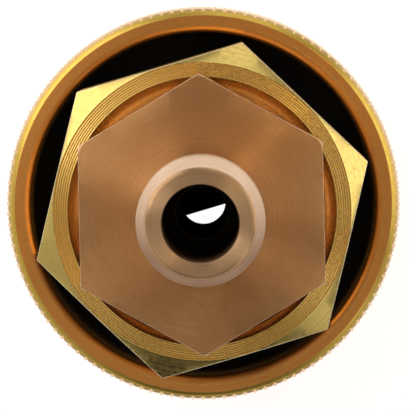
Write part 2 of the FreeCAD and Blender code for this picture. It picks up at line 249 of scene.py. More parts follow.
# %% Raise the knurling
def knurl(bm):
    """Turns the nut's outer wall into rows of raised diamonds."""
    wall_r = (ROOT_R - 0.02) * MM

    def on_wall(vert):
        return vert.co.xy.length > wall_r

    tall = [e for e in bm.edges if all(map(on_wall, e.verts)) and e.calc_length() > NUT_TOP / 2 * MM]
    bmesh.ops.subdivide_edges(bm, edges=tall, cuts=KNURL_ROWS - 1, use_grid_fill=True)
    rows = [f for f in bm.faces if all(map(on_wall, f.verts)) and f.calc_area() > 0.3 * MM * MM]
    within = set(rows)
    crossed = [e for e in {e for f in rows for e in f.edges} if all(f in within for f in e.link_faces)]
    poked = bmesh.ops.poke(bm, faces=rows)
    bmesh.ops.dissolve_edges(bm, edges=crossed, use_verts=False)
    centres = set(poked["verts"])
    lattice = {f for v in centres for f in v.link_faces}
    diamonds = [f for f in lattice if len(f.verts) == 4]
    halves = [f for f in lattice if len(f.verts) == 3]
    bmesh.ops.inset_individual(
        bm, faces=diamonds, thickness=KNURL_FLANK * MM, depth=KNURL_DEPTH * MM, use_even_offset=True
    )
    bmesh.ops.inset_individual(
        bm, faces=halves, thickness=KNURL_FLANK / 2 * MM, depth=KNURL_DEPTH / 2 * MM, use_even_offset=True
    )
    return len(diamonds)


def chamfer_knurls(bm):
    """Cuts the diamonds back to the cone of the chamfer at each end."""
    slope = (ROOT_R - CHAMFER_R) / CHAMFER_DROP
    for vert in bm.verts:
        from_end = min(vert.co.z, NUT_TOP * MM - vert.co.z)
        limit = CHAMFER_R * MM + from_end * slope
        r = vert.co.xy.length
        if r > limit + 0.001 * MM:
            vert.co.x *= limit / r
            vert.co.y *= limit / r


print("diamonds:", knurl(nut_section))
chamfer_knurls(nut_section)
finish_piece(nut_section, "knurled_nut", "swivel_nut", "swivel_nut")

# %% [markdown]
# ## The hose thread
#
# A thread is a spin that climbs. The section is one tooth of the female thread, drawn as a
# small face inside the nut's wall, and the spin lifts it a little at each step. The spin starts and
# ends inside the nut's bore, so both ends of the ridge are plain cut faces.

# %% Cut the thread
THREAD_START = 1.1
THREAD_END = WASHER_LOW - 0.5
TOOTH_WIDTH = 0.92 * THREAD_PITCH


def climbing_thread(turns, steps_per_turn=72):
    """One ridge that climbs inside the nut, with a flat crest."""
    bm = bmesh.new()
    base, crest = TOOTH_WIDTH / 2, 0.14 * THREAD_PITCH
    start = THREAD_START + base
    buried_r = THREAD_ROOT_R + 0.2
    tooth = [(buried_r, -base), (THREAD_CREST_R, -crest), (THREAD_CREST_R, crest), (buried_r, base)]
    face = bm.faces.new([bm.verts.new((r * MM, 0, (start + z) * MM)) for r, z in tooth])
    geometry = [face, *face.verts, *face.edges]
    steps = int(turns * steps_per_turn)
    spin_climbing(bm, geometry, turns, steps, THREAD_PITCH / steps_per_turn)
    return bm


thread_turns = (THREAD_END - THREAD_START - TOOTH_WIDTH) / THREAD_PITCH
finish_piece(climbing_thread(thread_turns), "hose_thread", "swivel_nut")

# %% [markdown]
# ## Hexagons, turned and then milled
#
# A hexagon with a chamfered corner is awkward to draw, but easy to machine: turn it round, then
# mill six flats. The section's outer wall is left round, wider than the hexagon. Milling pulls
# each vertex in to the nearest flat. Where a flat meets the chamfer's cone the upper edge also
# has to drop down the cone, which draws the curved scallops that every bright hexagon nut has.

# %% Mill six flats
HEX_CHAMFER = 30  # degrees


def turn_round(bm, degrees):
    """Turns a whole bmesh about Z."""
    matrix = Matrix.Rotation(math.radians(degrees), 3, "Z")
    bmesh.ops.rotate(bm, verts=bm.verts[:], matrix=matrix)


def mill_hexagon(bm, flats, turn, face_r, top, bottom, chamfer, chamfer_below=False):
    """Pulls the wall in to a hexagon. face_r is where the chamfer meets the end face, in mm."""
    corner_r = flats / 2 / math.cos(math.radians(30))
    slope = math.tan(math.radians(chamfer))
    for vert in bm.verts:
        r = vert.co.xy.length / MM
        z = vert.co.z / MM
        if not bottom - 0.01 < z < top + 0.01 or r < face_r - 0.01:
            continue
        angle = math.degrees(math.atan2(vert.co.y, vert.co.x)) - turn
        from_flat = (angle % 60) - 30
        limit = flats / 2 / math.cos(math.radians(from_flat))
        r_new = min(r, limit)
        drop = max(0, r_new - face_r) * slope
        if r > corner_r - 0.01 and z > (top + bottom) / 2:
            vert.co.z = (top - drop) * MM
        elif r > corner_r - 0.01 and chamfer_below:
            vert.co.z = (bottom + drop) * MM
        vert.co.x *= r_new / r
        vert.co.y *= r_new / r
    bmesh.ops.remove_doubles(bm, verts=bm.verts[:], dist=0.004 * MM)


def break_hexagon_edges(bm, flats, bottom, top, size):
    """Rounds the hexagon's corners and the rims of its flats a little."""
    wall_r = flats / 2 - 0.01
    edges = []
    for edge in bm.edges:
        ends = [v.co for v in edge.verts]
        inside = all(bottom - 0.01 < co.z / MM < top + 0.01 and co.xy.length / MM > wall_r for co in ends)
        if inside and len(edge.link_faces) == 2 and edge.calc_face_angle(0) > math.radians(20):
            edges.append(edge)
    soften(bm, edges, size, "EDGES", clamp=True)
    return len(edges)


# %% [markdown]
# ## The regulator body
#
# One inch hexagon bar. Its end face is turned in shallow grooves, a wide chamfer runs from them
# out to the corners, and a dished recess surrounds the outlet fitting.

# %% Turn and mill the body
TURN_STEPS = 240  # a multiple of six, so that every corner has a column of vertices
BODY_FLATS = 25.4
BODY_TURN = 16.6
BODY_FACE_R = 12.65
DISH_R, DISH_DEPTH = 11.4, 1.3
SPIGOT_R = radius("outlet_oring") + 0.05
CHAMBER_R = 9.0
GROOVES = 6
GROOVE_DEPTH = 0.03


def body_section():
    """The body before milling. A unit arc is stretched to make the dished recess."""
    blank_r = BODY_FLATS / 2 / math.cos(math.radians(30)) + 0.2
    dish = DISH_R - SPIGOT_R
    dish_wall = quarter(SPIGOT_R, BODY_TOP, 1, -90, 0)
    points = [(CHAMBER_R, BODY_LOW), (BODY_FACE_R, BODY_LOW), (blank_r, BODY_LOW)]
    points += [(blank_r, BODY_TOP), (BODY_FACE_R, BODY_TOP)]
    pitch = (BODY_FACE_R - DISH_R) / (GROOVES + 0.5)
    for i in range(GROOVES):
        rim = BODY_FACE_R - (i + 0.5) * pitch
        points += [(rim, BODY_TOP), (rim - pitch * 0.35, BODY_TOP - GROOVE_DEPTH)]
        points += [(rim - pitch * 0.7, BODY_TOP)]
    for r, z in reversed(dish_wall):
        points += [(SPIGOT_R + (r - SPIGOT_R) * dish, BODY_TOP + (z - BODY_TOP) * DISH_DEPTH)]
    points += [(SPIGOT_R, FITTING_LOW - 0.05), (CHAMBER_R, FITTING_LOW - 0.05)]
    return section(points, edge_break=0)


body_mesh = body_section()
spin_full(body_mesh, TURN_STEPS)
turn_round(body_mesh, BODY_TURN)
body_hexagon = (BODY_FLATS, BODY_TURN, BODY_FACE_R, BODY_TOP, BODY_LOW, HEX_CHAMFER)
mill_hexagon(body_mesh, *body_hexagon, chamfer_below=True)
print("edges broken:", break_hexagon_edges(body_mesh, BODY_FLATS, BODY_LOW, BODY_TOP, 0.07))

# %% [markdown]
# ### The vent and the flow arrow
#
# The spring chamber breathes through a small drilled hole, and an arrow on the next flat shows
# which way the water goes. Both are cut with a Boolean, which is the bench's drill and engraver:
# the cutter is a small closed mesh, and the result is read back as a plain mesh.

# %% Drill and engrave
VENT_R, VENT_LEVEL = 0.8, 25.5
VENT_TURN = BODY_TURN - 150  # degrees, on the middle of a flat
ARROW_TURN = BODY_TURN - 90
ARROW_MIDDLE = (NUT_TOP + BODY_TOP) / 2
ARROW_HALF, ARROW_DEPTH = 4.0, 0.25
ARROW_SHAFT, ARROW_HEAD = 0.9, 2.2  # half widths


def cut(bm, cutter):
    """Cuts one bmesh out of another, and returns the result."""
    both = []
    for source in (bm, cutter):
        mesh = bpy.data.meshes.new("cut")
        source.to_mesh(mesh)
        source.free()
        both.append(bpy.data.objects.new("cut", mesh))
        bpy.context.scene.collection.objects.link(both[-1])
    target, tool = both
    boolean = target.modifiers.new("cut", "BOOLEAN")
    boolean.operation, boolean.solver, boolean.object = "DIFFERENCE", "EXACT", tool
    evaluated = target.evaluated_get(bpy.context.evaluated_depsgraph_get())
    result = bmesh.new()
    result.from_mesh(evaluated.to_mesh())
    for leftover in both:
        mesh = leftover.data
        bpy.data.objects.remove(leftover)
        bpy.data.meshes.remove(mesh)
    return result


def vent_drill():
    """A rod that lies across the body's wall."""
    bm = bmesh.new()
    depth = BODY_FLATS / 2
    place = Matrix.Translation((depth * MM, 0, VENT_LEVEL * MM)) @ Matrix.Rotation(math.radians(90), 4, "Y")
    bmesh.ops.create_cone(
        bm,
        segments=40,
        radius1=VENT_R * MM,
        radius2=VENT_R * MM,
        depth=depth * MM,
        cap_ends=True,
        matrix=place,
    )
    turn_round(bm, VENT_TURN)
    return bm


def arrow_cutter():
    """A shaft and a head, drawn as one flat face and extruded outwards."""
    bm = bmesh.new()
    neck = ARROW_MIDDLE + ARROW_HALF * 0.2
    right = [(ARROW_SHAFT, ARROW_MIDDLE - ARROW_HALF), (ARROW_SHAFT, neck), (ARROW_HEAD, neck)]
    outline = right + [(0, ARROW_MIDDLE + ARROW_HALF)] + [(-y, z) for y, z in reversed(right)]
    inner = BODY_FLATS / 2 - ARROW_DEPTH
    face = bm.faces.new([bm.verts.new((inner * MM, y * MM, z * MM)) for y, z in outline])
    grown = bmesh.ops.extrude_face_region(bm, geom=[face], use_keep_orig=True)
    moved = [g for g in grown["geom"] if isinstance(g, bmesh.types.BMVert)]
    bmesh.ops.translate(bm, verts=moved, vec=(1 * MM, 0, 0))
    bmesh.ops.recalc_face_normals(bm, faces=bm.faces[:])
    turn_round(bm, ARROW_TURN)
    return bm


body_mesh = cut(cut(body_mesh, vent_drill()), arrow_cutter())
finish_piece(body_mesh, "hexagon_body", "housing", "regulator_body")

# %% [markdown]
# ## The outlet fitting
#
# A second hexagon, smaller, with the hose tail turned from the same bar. Each barb is a short
# cone with a sharp heel that bites into the hose, and the tip is rounded so that the hose slides
# on.

# %% Turn and mill the fitting
FITTING_FLATS = 20.4
FITTING_TURN = 31.2
FITTING_FACE_R = 11.5
HEX_TOP = BODY_TOP + 6.5
BARBS, BARB_PITCH, BARB_LAND = 4, 2.9, 0.3
CREST_R, BARB_ROOT_R, NOSE_R, NOSE_ROUND = 5.25, 4.6, 4.6, 0.45
BORE_R, CYLINDER_R, BORE_EDGE = 3.1, 8.0, 0.12
ROOT_FILLET = 0.5


def fitting_section():
    """The fitting before milling, from its spigot up to the nose and back down the bore."""
    blank_r = FITTING_FLATS / 2 / math.cos(math.radians(30)) + 0.2
    points = [(SPIGOT_R - 0.45, FITTING_LOW), (SPIGOT_R - 0.05, FITTING_LOW + 0.4)]
    points += [(SPIGOT_R - 0.05, BODY_TOP), (blank_r, BODY_TOP), (blank_r, HEX_TOP)]
    points += [(FITTING_FACE_R, HEX_TOP), (8.6, HEX_TOP), (6.8, HEX_TOP)]
    points += quarter(BARB_ROOT_R + ROOT_FILLET, HEX_TOP + ROOT_FILLET, ROOT_FILLET, 270, 180)
    for i in reversed(range(BARBS)):
        crest = TIP - 2.6 - i * BARB_PITCH
        heel = crest - BARB_LAND
        points += [(BARB_ROOT_R, heel - BARB_LAND), (CREST_R - 0.06, heel), (CREST_R, heel + 0.06)]
        points += [(CREST_R, crest - 0.05), (CREST_R - 0.03, crest + 0.05)]
    points += quarter(NOSE_R - NOSE_ROUND, TIP - NOSE_ROUND, NOSE_ROUND, 8, 90, 6)
    points += quarter(BORE_R + BORE_EDGE, TIP - BORE_EDGE, BORE_EDGE, 90, 180, 3)
    points += [(BORE_R, CYLINDER_TOP), (CYLINDER_R, CYLINDER_TOP), (CYLINDER_R, FITTING_LOW)]
    return section(points, edge_break=0)


fitting_mesh = fitting_section()
spin_full(fitting_mesh, TURN_STEPS)
turn_round(fitting_mesh, FITTING_TURN)
mill_hexagon(fitting_mesh, FITTING_FLATS, FITTING_TURN, FITTING_FACE_R, HEX_TOP, BODY_TOP, HEX_CHAMFER)
print("edges broken:", break_hexagon_edges(fitting_mesh, FITTING_FLATS, BODY_TOP, HEX_TOP, 0.09))
finish_piece(fitting_mesh, "outlet_hose_tail", "housing", "outlet_fitting")

# %% [markdown]
# ## The woven screen
#
# A strainer is woven wire pressed into a dome. Each wire is a curve that rises and falls as it
# crosses the others, and a round bevel gives it thickness. The wires are then made one mesh.

# %% Weave the screen
SCREEN_LOW, SCREEN_TOP = low("screen_mesh"), high("screen_mesh")
SCREEN_R = radius("screen_mesh")
WIRE_PITCH, WIRE_R = 0.7, 0.11


def dome_level(r):
    """The level of the screen's middle surface, r mm from the axis."""
    rise = SCREEN_TOP - SCREEN_LOW - 0.2
    sphere_r = (SCREEN_R**2 + rise**2) / (2 * rise)
    return SCREEN_LOW + 0.1 + math.sqrt(sphere_r**2 - r**2) - (sphere_r - rise)


def woven_wires():
    """Two sets of wires that pass over and under each other, as one mesh."""
    curve = bpy.data.curves.new("wires", "CURVE")
    curve.dimensions = "3D"
    curve.bevel_depth = WIRE_R * MM
    curve.bevel_resolution = 1
    curve.use_fill_caps = True
    count = int((SCREEN_R - WIRE_R) / WIRE_PITCH)
    for along in (0, 1):
        for i in range(-count, count + 1):
            across = i * WIRE_PITCH
            reach = math.sqrt(SCREEN_R**2 - across**2)
            steps = max(2, int(2 * reach / (WIRE_PITCH / 2)))
            spline = curve.splines.new("POLY")
            spline.points.add(steps)
            for k, point in enumerate(spline.points):
                s = -reach + 2 * reach * k / steps
                wave = WIRE_R * math.cos(math.pi * (s / WIRE_PITCH + i)) * (1 if along else -1)
                x, y = (s, across) if along else (across, s)
                level = max(dome_level(math.hypot(x, y)) + wave, SCREEN_LOW + WIRE_R)
                point.co = (x * MM, y * MM, level * MM, 1)
    holder = bpy.data.objects.new("wires", curve)
    bm = bmesh.new()
    bm.from_mesh(bpy.data.meshes.new_from_object(holder))
    bmesh.ops.remove_doubles(bm, verts=bm.verts[:], dist=0.0001 * MM)
    bmesh.ops.recalc_face_normals(bm, faces=bm.faces[:])
    bpy.data.objects.remove(holder)
    bpy.data.curves.remove(curve)
    return bm


finish_piece(woven_wires(), "woven_screen", "swivel_nut", "screen_mesh")

# %% [markdown]
# ## The spring
#
# A compression spring is one round wire wound on a climbing path, so it is the same spin as the
# hose thread with a disc for its section.

# %% Wind the spring
SPRING_TURNS = 4.5
SPRING_WIRE_R = 0.75
WIRE_SIDES, STEPS_PER_TURN = 16, 40


def wound_spring():
    """One wire that climbs from the spring's lowest level to its highest."""
    bm = bmesh.new()
    mean_r = radius("spring") - SPRING_WIRE_R
    start = low("spring") + SPRING_WIRE_R
    rise = high("spring") - SPRING_WIRE_R - start
    steps = int(SPRING_TURNS * STEPS_PER_TURN)
    place = Matrix.Translation((mean_r * MM, 0, start * MM)) @ Matrix.Rotation(math.radians(90), 4, "X")
    bmesh.ops.create_circle(bm, cap_ends=True, segments=WIRE_SIDES, radius=SPRING_WIRE_R * MM, matrix=place)
    spin_climbing(bm, [*bm.faces, *bm.verts, *bm.edges], SPRING_TURNS, steps, rise / steps)
    return bm


spring = finish_piece(wound_spring(), "wound_spring", "housing", "spring")
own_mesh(spring)

# %% [markdown]
# ## Finishes: the shared effects
#
# The same few things happen to every turned brass face: the tool leaves fine circular marks, the
# metal tarnishes in soft patches with darker specks, and dust settles on what faces up. Each is
# a shader node group with named inputs, built once. A group gives out masks only, so that each
# material decides for itself what they do to its colour, its roughness and its relief. First come
# short names for the nodes that all of them need.

# %% Node helpers
def add(tree, kind, **settings):
    """A shader node with its settings and plain input values."""
    node = tree.nodes.new(kind)
    for name, value in settings.items():
        if hasattr(node, name):
            setattr(node, name, value)
        else:
            node.inputs[name.replace("_", " ")].default_value = value
    return node


def join(tree, source, target):
    """Links one socket to another."""
    tree.links.new(source, target)


def maths(tree, operation, a, b=0.0):
    """A maths node whose operands are sockets or numbers."""
    node = add(tree, "ShaderNodeMath", operation=operation)
    for socket, value in zip(node.inputs, (a, b)):
        if isinstance(value, (int, float)):
            socket.default_value = value
        else:
            join(tree, value, socket)
    return node.outputs[0]


def product(tree, first, *others):
    """Multiplies sockets and numbers together."""
    for other in others:
        first = maths(tree, "MULTIPLY", first, other)
    return first


def spread(tree, value, low_in, high_in, low_out=0.0, high_out=1.0):
    """Maps a socket from one range to another, clamped."""
    node = add(tree, "ShaderNodeMapRange")
    join(tree, value, node.inputs["Value"])
    ranges = {"From Min": low_in, "From Max": high_in, "To Min": low_out, "To Max": high_out}
    for name, number in ranges.items():
        node.inputs[name].default_value = number
    return node.outputs["Result"]


def between(tree, value, start, end, soft):
    """A mask that is 1 from start to end, with soft edges."""
    rise = spread(tree, value, start - soft, start)
    fall = spread(tree, value, end, end + soft, 1.0, 0.0)
    return product(tree, rise, fall)


def blend_colours(tree, mask, a, b):
    """Mixes two colours, each a socket or three numbers, by a mask."""
    node = add(tree, "ShaderNodeMix", data_type="RGBA")
    join(tree, mask, node.inputs["Factor"])
    for socket, value in zip((node.inputs[6], node.inputs[7]), (a, b)):
        if isinstance(value, (tuple, list)):
            socket.default_value = (*value, 1)
        else:
            join(tree, value, socket)
    return node.outputs[2]


def paint_over(tree, colour, coats):
    """Lays colours over one another, each through its own mask."""
    for mask, coat in coats:
        colour = blend_colours(tree, mask, colour, coat)
    return colour


def separate(tree, vector):
    """The X, Y and Z of a vector socket."""
    node = add(tree, "ShaderNodeSeparateXYZ")
    join(tree, vector, node.inputs[0])
    return tuple(node.outputs)


def object_place(tree):
    """Object coordinates, which are the design's own coordinates on every piece."""
    return add(tree, "ShaderNodeTexCoord").outputs["Object"]


def facing(tree, kind="Normal"):
    """The X, Y and Z of the direction that the surface faces."""
    return separate(tree, add(tree, "ShaderNodeNewGeometry").outputs[kind])


def relief_from(tree, shader, height, distance):
    """Raises a height socket into the shader's normal. distance is in metres."""
    bump = add(tree, "ShaderNodeBump", Distance=distance)
    join(tree, height, bump.inputs["Height"])
    join(tree, bump.outputs["Normal"], shader.inputs["Normal"])


def new_group(name, inputs, outputs):
    """An empty shader group. inputs maps a name to its default number."""
    group = bpy.data.node_groups.new(name, "ShaderNodeTree")
    for title, default in inputs.items():
        socket = group.interface.new_socket(name=title, in_out="INPUT", socket_type="NodeSocketFloat")
        socket.default_value = default
    for title in outputs:
        group.interface.new_socket(name=title, in_out="OUTPUT", socket_type="NodeSocketFloat")
    return group, add(group, "NodeGroupInput").outputs, add(group, "NodeGroupOutput").inputs


def use_group(tree, group, **values):
    """A copy of a group in a material, with its own values. Gives back its outputs."""
    node = add(tree, "ShaderNodeGroup", node_tree=group)
    for name, value in values.items():
        node.inputs[name.replace("_", " ")].default_value = value
    return node.outputs


# %% [markdown]
# ### Turning marks
#
# A lathe tool leaves a spiral so fine that it looks like rings. One-dimensional noise makes them
# when it is read along the distance from the axis, and adding some of the height carries the same
# rings down upright walls. A second, slower reading gives broad bands of duller metal.

# %% Turning marks
RISE_SHARE = 0.73  # how much of the height is added to the radius


def turning_marks():
    """Fine rings round Z, closer or wider at random, as a lathe tool leaves them."""
    group, given, made = new_group("turning marks", {"Pitch": 0.0002, "Wander": 0.3}, ["Rings", "Bands"])
    place = object_place(group)
    x, y, z = separate(group, place)
    r = maths(group, "SQRT", maths(group, "ADD", product(group, x, x), product(group, y, y)))
    path = maths(group, "ADD", r, product(group, z, RISE_SHARE))
    drift = add(group, "ShaderNodeTexNoise", Scale=160.0, Detail=1.0)
    join(group, place, drift.inputs["Vector"])
    strayed = product(group, drift.outputs["Fac"], given["Wander"], given["Pitch"])
    turns = maths(group, "DIVIDE", maths(group, "ADD", path, strayed), given["Pitch"])
    for title, stretch in (("Rings", 1.0), ("Bands", 0.23)):
        noise = add(group, "ShaderNodeTexNoise", noise_dimensions="1D", Scale=stretch)
        noise.inputs["Detail"].default_value = 2.5
        noise.inputs["Roughness"].default_value = 0.65
        join(group, turns, noise.inputs["W"])
        join(group, spread(group, noise.outputs["Fac"], 0.3, 0.7), made[title])
    return group


TURNING_MARKS = turning_marks()
print("group:", TURNING_MARKS.name)

# %% [markdown]
# ### Tarnish
#
# Old brass goes dull in soft clouds, and a few small spots go darker still. Both are cloudy
# noise, and only the ends of the range that is kept make one soft and the other speckled.

# %% Tarnish
def tarnish():
    """Soft patches, and small darker specks scattered over them."""
    scales = {"Patch Scale": 120.0, "Speck Scale": 1500.0}
    group, given, made = new_group("tarnish", scales, ["Patches", "Specks"])
    place = object_place(group)
    for title, scale, detail, low_in, high_in in (
        ("Patches", given["Patch Scale"], 4.0, 0.38, 0.66),
        ("Specks", given["Speck Scale"], 2.0, 0.66, 0.78),
    ):
        noise = add(group, "ShaderNodeTexNoise", Detail=detail, Roughness=0.6)
        join(group, place, noise.inputs["Vector"])
        join(group, scale, noise.inputs["Scale"])
        join(group, spread(group, noise.outputs["Fac"], low_in, high_in), made[title])
    return group


TARNISH = tarnish()
print("group:", TARNISH.name)

# %% [markdown]
# ### Dust, and distance from the axis
#
# Dust lies on what looks up, so its mask is the upward part of the normal times a fine grain. The
# last group only measures: stains and wear on a turned part begin and end at a radius or a level.

# %% Settled dust, and distance from the axis
def settled_dust():
    """A thin broken film on faces that look up."""
    group, given, made = new_group("settled dust", {"Grain": 2600.0}, ["Dust"])
    up = spread(group, facing(group)[2], 0.2, 1.0)
    noise = add(group, "ShaderNodeTexNoise", Detail=3.0, Roughness=0.7)
    join(group, object_place(group), noise.inputs["Vector"])
    join(group, given["Grain"], noise.inputs["Scale"])
    join(group, product(group, up, spread(group, noise.outputs["Fac"], 0.5, 0.8)), made["Dust"])
    return group


def from_axis():
    """How far a point is from the axis, and how high it is, in millimetres."""
    group, _, made = new_group("from axis", {}, ["Radius", "Level"])
    x, y, z = separate(group, object_place(group))
    r = maths(group, "SQRT", maths(group, "ADD", product(group, x, x), product(group, y, y)))
    join(group, maths(group, "DIVIDE", r, MM), made["Radius"])
    join(group, maths(group, "DIVIDE", z, MM), made["Level"])
    return group


DUST = settled_dust()
FROM_AXIS = from_axis()
print("groups:", ", ".join(g.name for g in bpy.data.node_groups))

# %% [markdown]
# ## Turned brass
#
# A brushed or turned face reflects like a bundle of fine wires: it is blurred across the marks
# and stays sharp along them. The shader's anisotropy does that once it knows which way the marks
# run. Here they run round Z, so the blur direction is the one across them within the face, which
# a cross product gives. The flats of drawn hexagon bar are marked lengthways instead.

# %% The blur direction
def across_marks(tree, drawn_walls):
    """The tangent for marks that run round Z, and along Z on upright walls if drawn_walls is true."""
    x, y, _ = separate(tree, object_place(tree))
    round_z = add(tree, "ShaderNodeCombineXYZ")
    join(tree, product(tree, y, -1.0), round_z.inputs["X"])
    join(tree, x, round_z.inputs["Y"])
    turned = add(tree, "ShaderNodeVectorTransform", vector_type="VECTOR")
    turned.convert_from, turned.convert_to = "OBJECT", "WORLD"
    join(tree, round_z.outputs[0], turned.inputs[0])
    unit = add(tree, "ShaderNodeVectorMath", operation="NORMALIZE")
    join(tree, turned.outputs[0], unit.inputs[0])
    normal = add(tree, "ShaderNodeNewGeometry").outputs["Normal"]
    cross = add(tree, "ShaderNodeVectorMath", operation="CROSS_PRODUCT")
    join(tree, unit.outputs[0], cross.inputs[0])
    join(tree, normal, cross.inputs[1])
    if not drawn_walls:
        return cross.outputs[0]
    steepness = maths(tree, "ABSOLUTE", separate(tree, normal)[2])
    choice = add(tree, "ShaderNodeMix", data_type="VECTOR")
    join(tree, spread(tree, steepness, 0.1, 0.3, 1.0, 0.0), choice.inputs["Factor"])
    join(tree, cross.outputs[0], choice.inputs[4])
    join(tree, unit.outputs[0], choice.inputs[5])
    return choice.outputs[1]


# %% [markdown]
# ### One function for all the brass
#
# The five brasses differ in colour, in how fine their marks are and in where they are stained or
# painted with shade, so one function takes those as arguments. A stain or painted shade that lies
# on the metal as a dull film also takes its gloss away, because polished metal shines at a low angle
# however dark it is painted.

# %% The brass itself
PATCH_SHARE = 0.6  # how far a patch goes from the fresh colour to the dull one
PATCH_ROUGHNESS, DUST_ROUGHNESS = 0.06, 0.2
SPECK_SHADE = 0.35  # a speck's colour is this share of the dull colour
SPECK_DULLNESS = 0.4  # how much less metallic a speck is


def start_material(name):
    """A new material, its node tree and its shader."""
    material = bpy.data.materials.new(name)
    material.use_nodes = True
    return material, material.node_tree, material.node_tree.nodes["Principled BSDF"]


def turned_brass(
    name,
    fresh,
    dull,
    pitch,
    relief,
    roughness=(0.2, 0.36),
    anisotropy=0.6,
    specks=0.5,
    streaks=0.35,
    tint=None,
    drawn_walls=False,
):
    """fresh and dull are linear colours, pitch is in mm and relief in thousandths of a mm. tint
    changes the colour from place to place, painted shade included, and returns a mask of where a dull
    film of stain or painted shade covers it."""
    material, tree, shader = start_material(name)
    marks = use_group(tree, TURNING_MARKS, Pitch=pitch * MM)
    stain = use_group(tree, TARNISH)
    dust = use_group(tree, DUST)
    colour = blend_colours(tree, product(tree, stain["Patches"], PATCH_SHARE), fresh, dull)
    stain_and_shade_film = None
    if tint:
        colour, stain_and_shade_film = tint(tree, colour)
    coats = [
        (product(tree, marks["Bands"], streaks), dull),
        (product(tree, stain["Specks"], specks), [c * SPECK_SHADE for c in dull]),
    ]
    join(tree, paint_over(tree, colour, coats), shader.inputs["Base Color"])
    rough = spread(tree, marks["Rings"], 0.0, 1.0, *roughness)
    rough = maths(tree, "ADD", rough, product(tree, stain["Patches"], PATCH_ROUGHNESS))
    rough = maths(tree, "ADD", rough, product(tree, dust["Dust"], DUST_ROUGHNESS))
    metal = maths(tree, "SUBTRACT", 1.0, product(tree, stain["Specks"], SPECK_DULLNESS))
    # this mask is real stain on some pieces and painted shade on others
    if stain_and_shade_film:
        rough = maths(tree, "MAXIMUM", rough, stain_and_shade_film)
        metal = product(tree, metal, maths(tree, "SUBTRACT", 1.0, stain_and_shade_film))
    join(tree, rough, shader.inputs["Roughness"])
    join(tree, metal, shader.inputs["Metallic"])
    relief_from(tree, shader, marks["Rings"], relief * 1e-6)
    join(tree, across_marks(tree, drawn_walls), shader.inputs["Tangent"])
    shader.inputs["Anisotropic"].default_value = anisotropy
    return material


def give(material, *names):
    """Puts a material on design nodes or finished pieces."""
    for name in names:
        mesh = bpy.data.objects[name].data
        mesh.materials.clear()
        mesh.materials.append(material)
    print(material.name, "->", ", ".join(names))


# %% [markdown]
# ### Stains, wear and painted shade on the nut
#
# The nut's rear face was turned last and has gone redder, and its inner lip is painted darker as
# shade. The knurls are rubbed pale by hands while grime stays between them, and the inside of the
# skirt is painted dark as shade.

# %% The nut's stains
def nut_tint(tree, colour):
    """A redder turned rear face, pale knurls with grime between them, and painted shade at the lip and
    inside.
    """
    place = use_group(tree, FROM_AXIS)
    r, z = place["Radius"], place["Level"]
    rear = spread(tree, z, NUT_TOP - 0.8, NUT_TOP - 0.7)

    def rear_within(outer, soft):
        return product(tree, spread(tree, r, outer - soft, outer, 1, 0), rear)

    hollows = product(
        tree,
        between(tree, r, ROOT_R - 0.1, NUT_R - 0.24, 0.12),
        between(tree, z, 0.7, NUT_TOP - 0.7, 0.15),
    )
    face, rounded_edge, lip_shade = (0.86, 0.35, 0.085), (0.78, 0.32, 0.14), (0.30, 0.10, 0.035)
    chamfer, knurls, grime = (0.98, 0.66, 0.12), (0.92, 0.67, 0.44), (0.11, 0.065, 0.03)
    coats = [
        (rear_within(CHAMFER_R + 0.02, 0.02), face),
        (rear_within(SKIRT_R + SKIRT_EDGE, 0.15), rounded_edge),
        # painted shade: the inner lip is painted dark
        (rear_within(SKIRT_R + 0.3, 0.25), lip_shade),
        (between(tree, r, CHAMFER_R + 0.02, ROOT_R, 0.02), chamfer),
        (spread(tree, r, ROOT_R, ROOT_R + 0.15), knurls),
        (product(tree, hollows, 0.4), grime),
    ]
    # painted shade: the inside of the skirt is painted nearly black and made dull, where only shade falls
    inside = product(
        tree,
        spread(tree, r, SKIRT_R + 0.2, SKIRT_R + 0.3, 1, 0),
        spread(tree, z, NUT_TOP - 1.2, NUT_TOP - SKIRT_EDGE, 1, 0),
    )
    coats.append((inside, (0.03, 0.012, 0.004)))
    return paint_over(tree, colour, coats), inside


# %% [markdown]
# ### Stains, wear, painted light and painted shade on the hexagons
#
# Both hexagons are paler along their upper edges, partly rubbed bright and partly a painted
# highlight. The body's corner chamfers are painted paler as a highlight, its recess is painted bright
# above and dark as shade on its lower side, and grime has settled in the arrow, which is what makes
# an engraved mark easy to see.

# %% The hexagons' stains
def worn_and_highlit_edges(tree, top):
    """A mask of a hexagon's rounded edges at its top face, which are rubbed bright and carry a painted
    highlight.
    """
    place = use_group(tree, FROM_AXIS)
    rounded = between(tree, facing(tree, "True Normal")[2], 0.12, 0.78, 0.06)
    flat_r = FITTING_FLATS / 2
    outside = spread(tree, place["Radius"], flat_r - 0.2, flat_r - 0.1)
    near_top = between(tree, place["Level"], top - 2.0, top + 1.0, 0.1)
    return product(tree, rounded, product(tree, outside, near_top))


def arrow_grime(tree):
    """A mask of the engraved arrow's floor, where grime has settled."""
    x, y, _ = separate(tree, object_place(tree))
    turn = math.radians(ARROW_TURN)

    def distance_along(dx, dy):
        return maths(tree, "ADD", product(tree, x, dx / MM), product(tree, y, dy / MM))

    depth = maths(tree, "SUBTRACT", BODY_FLATS / 2, distance_along(math.cos(turn), math.sin(turn)))
    sideways = maths(tree, "ABSOLUTE", distance_along(-math.sin(turn), math.cos(turn)))
    engraved = between(tree, depth, 0.15, 0.3, 0.08)
    beside = spread(tree, sideways, ARROW_HEAD + 0.1, ARROW_HEAD + 0.2, 1, 0)
    level = use_group(tree, FROM_AXIS)["Level"]
    along = between(tree, level, ARROW_MIDDLE - 6, ARROW_MIDDLE + 6, 0.5)
    return product(tree, engraved, product(tree, beside, along), 0.85)


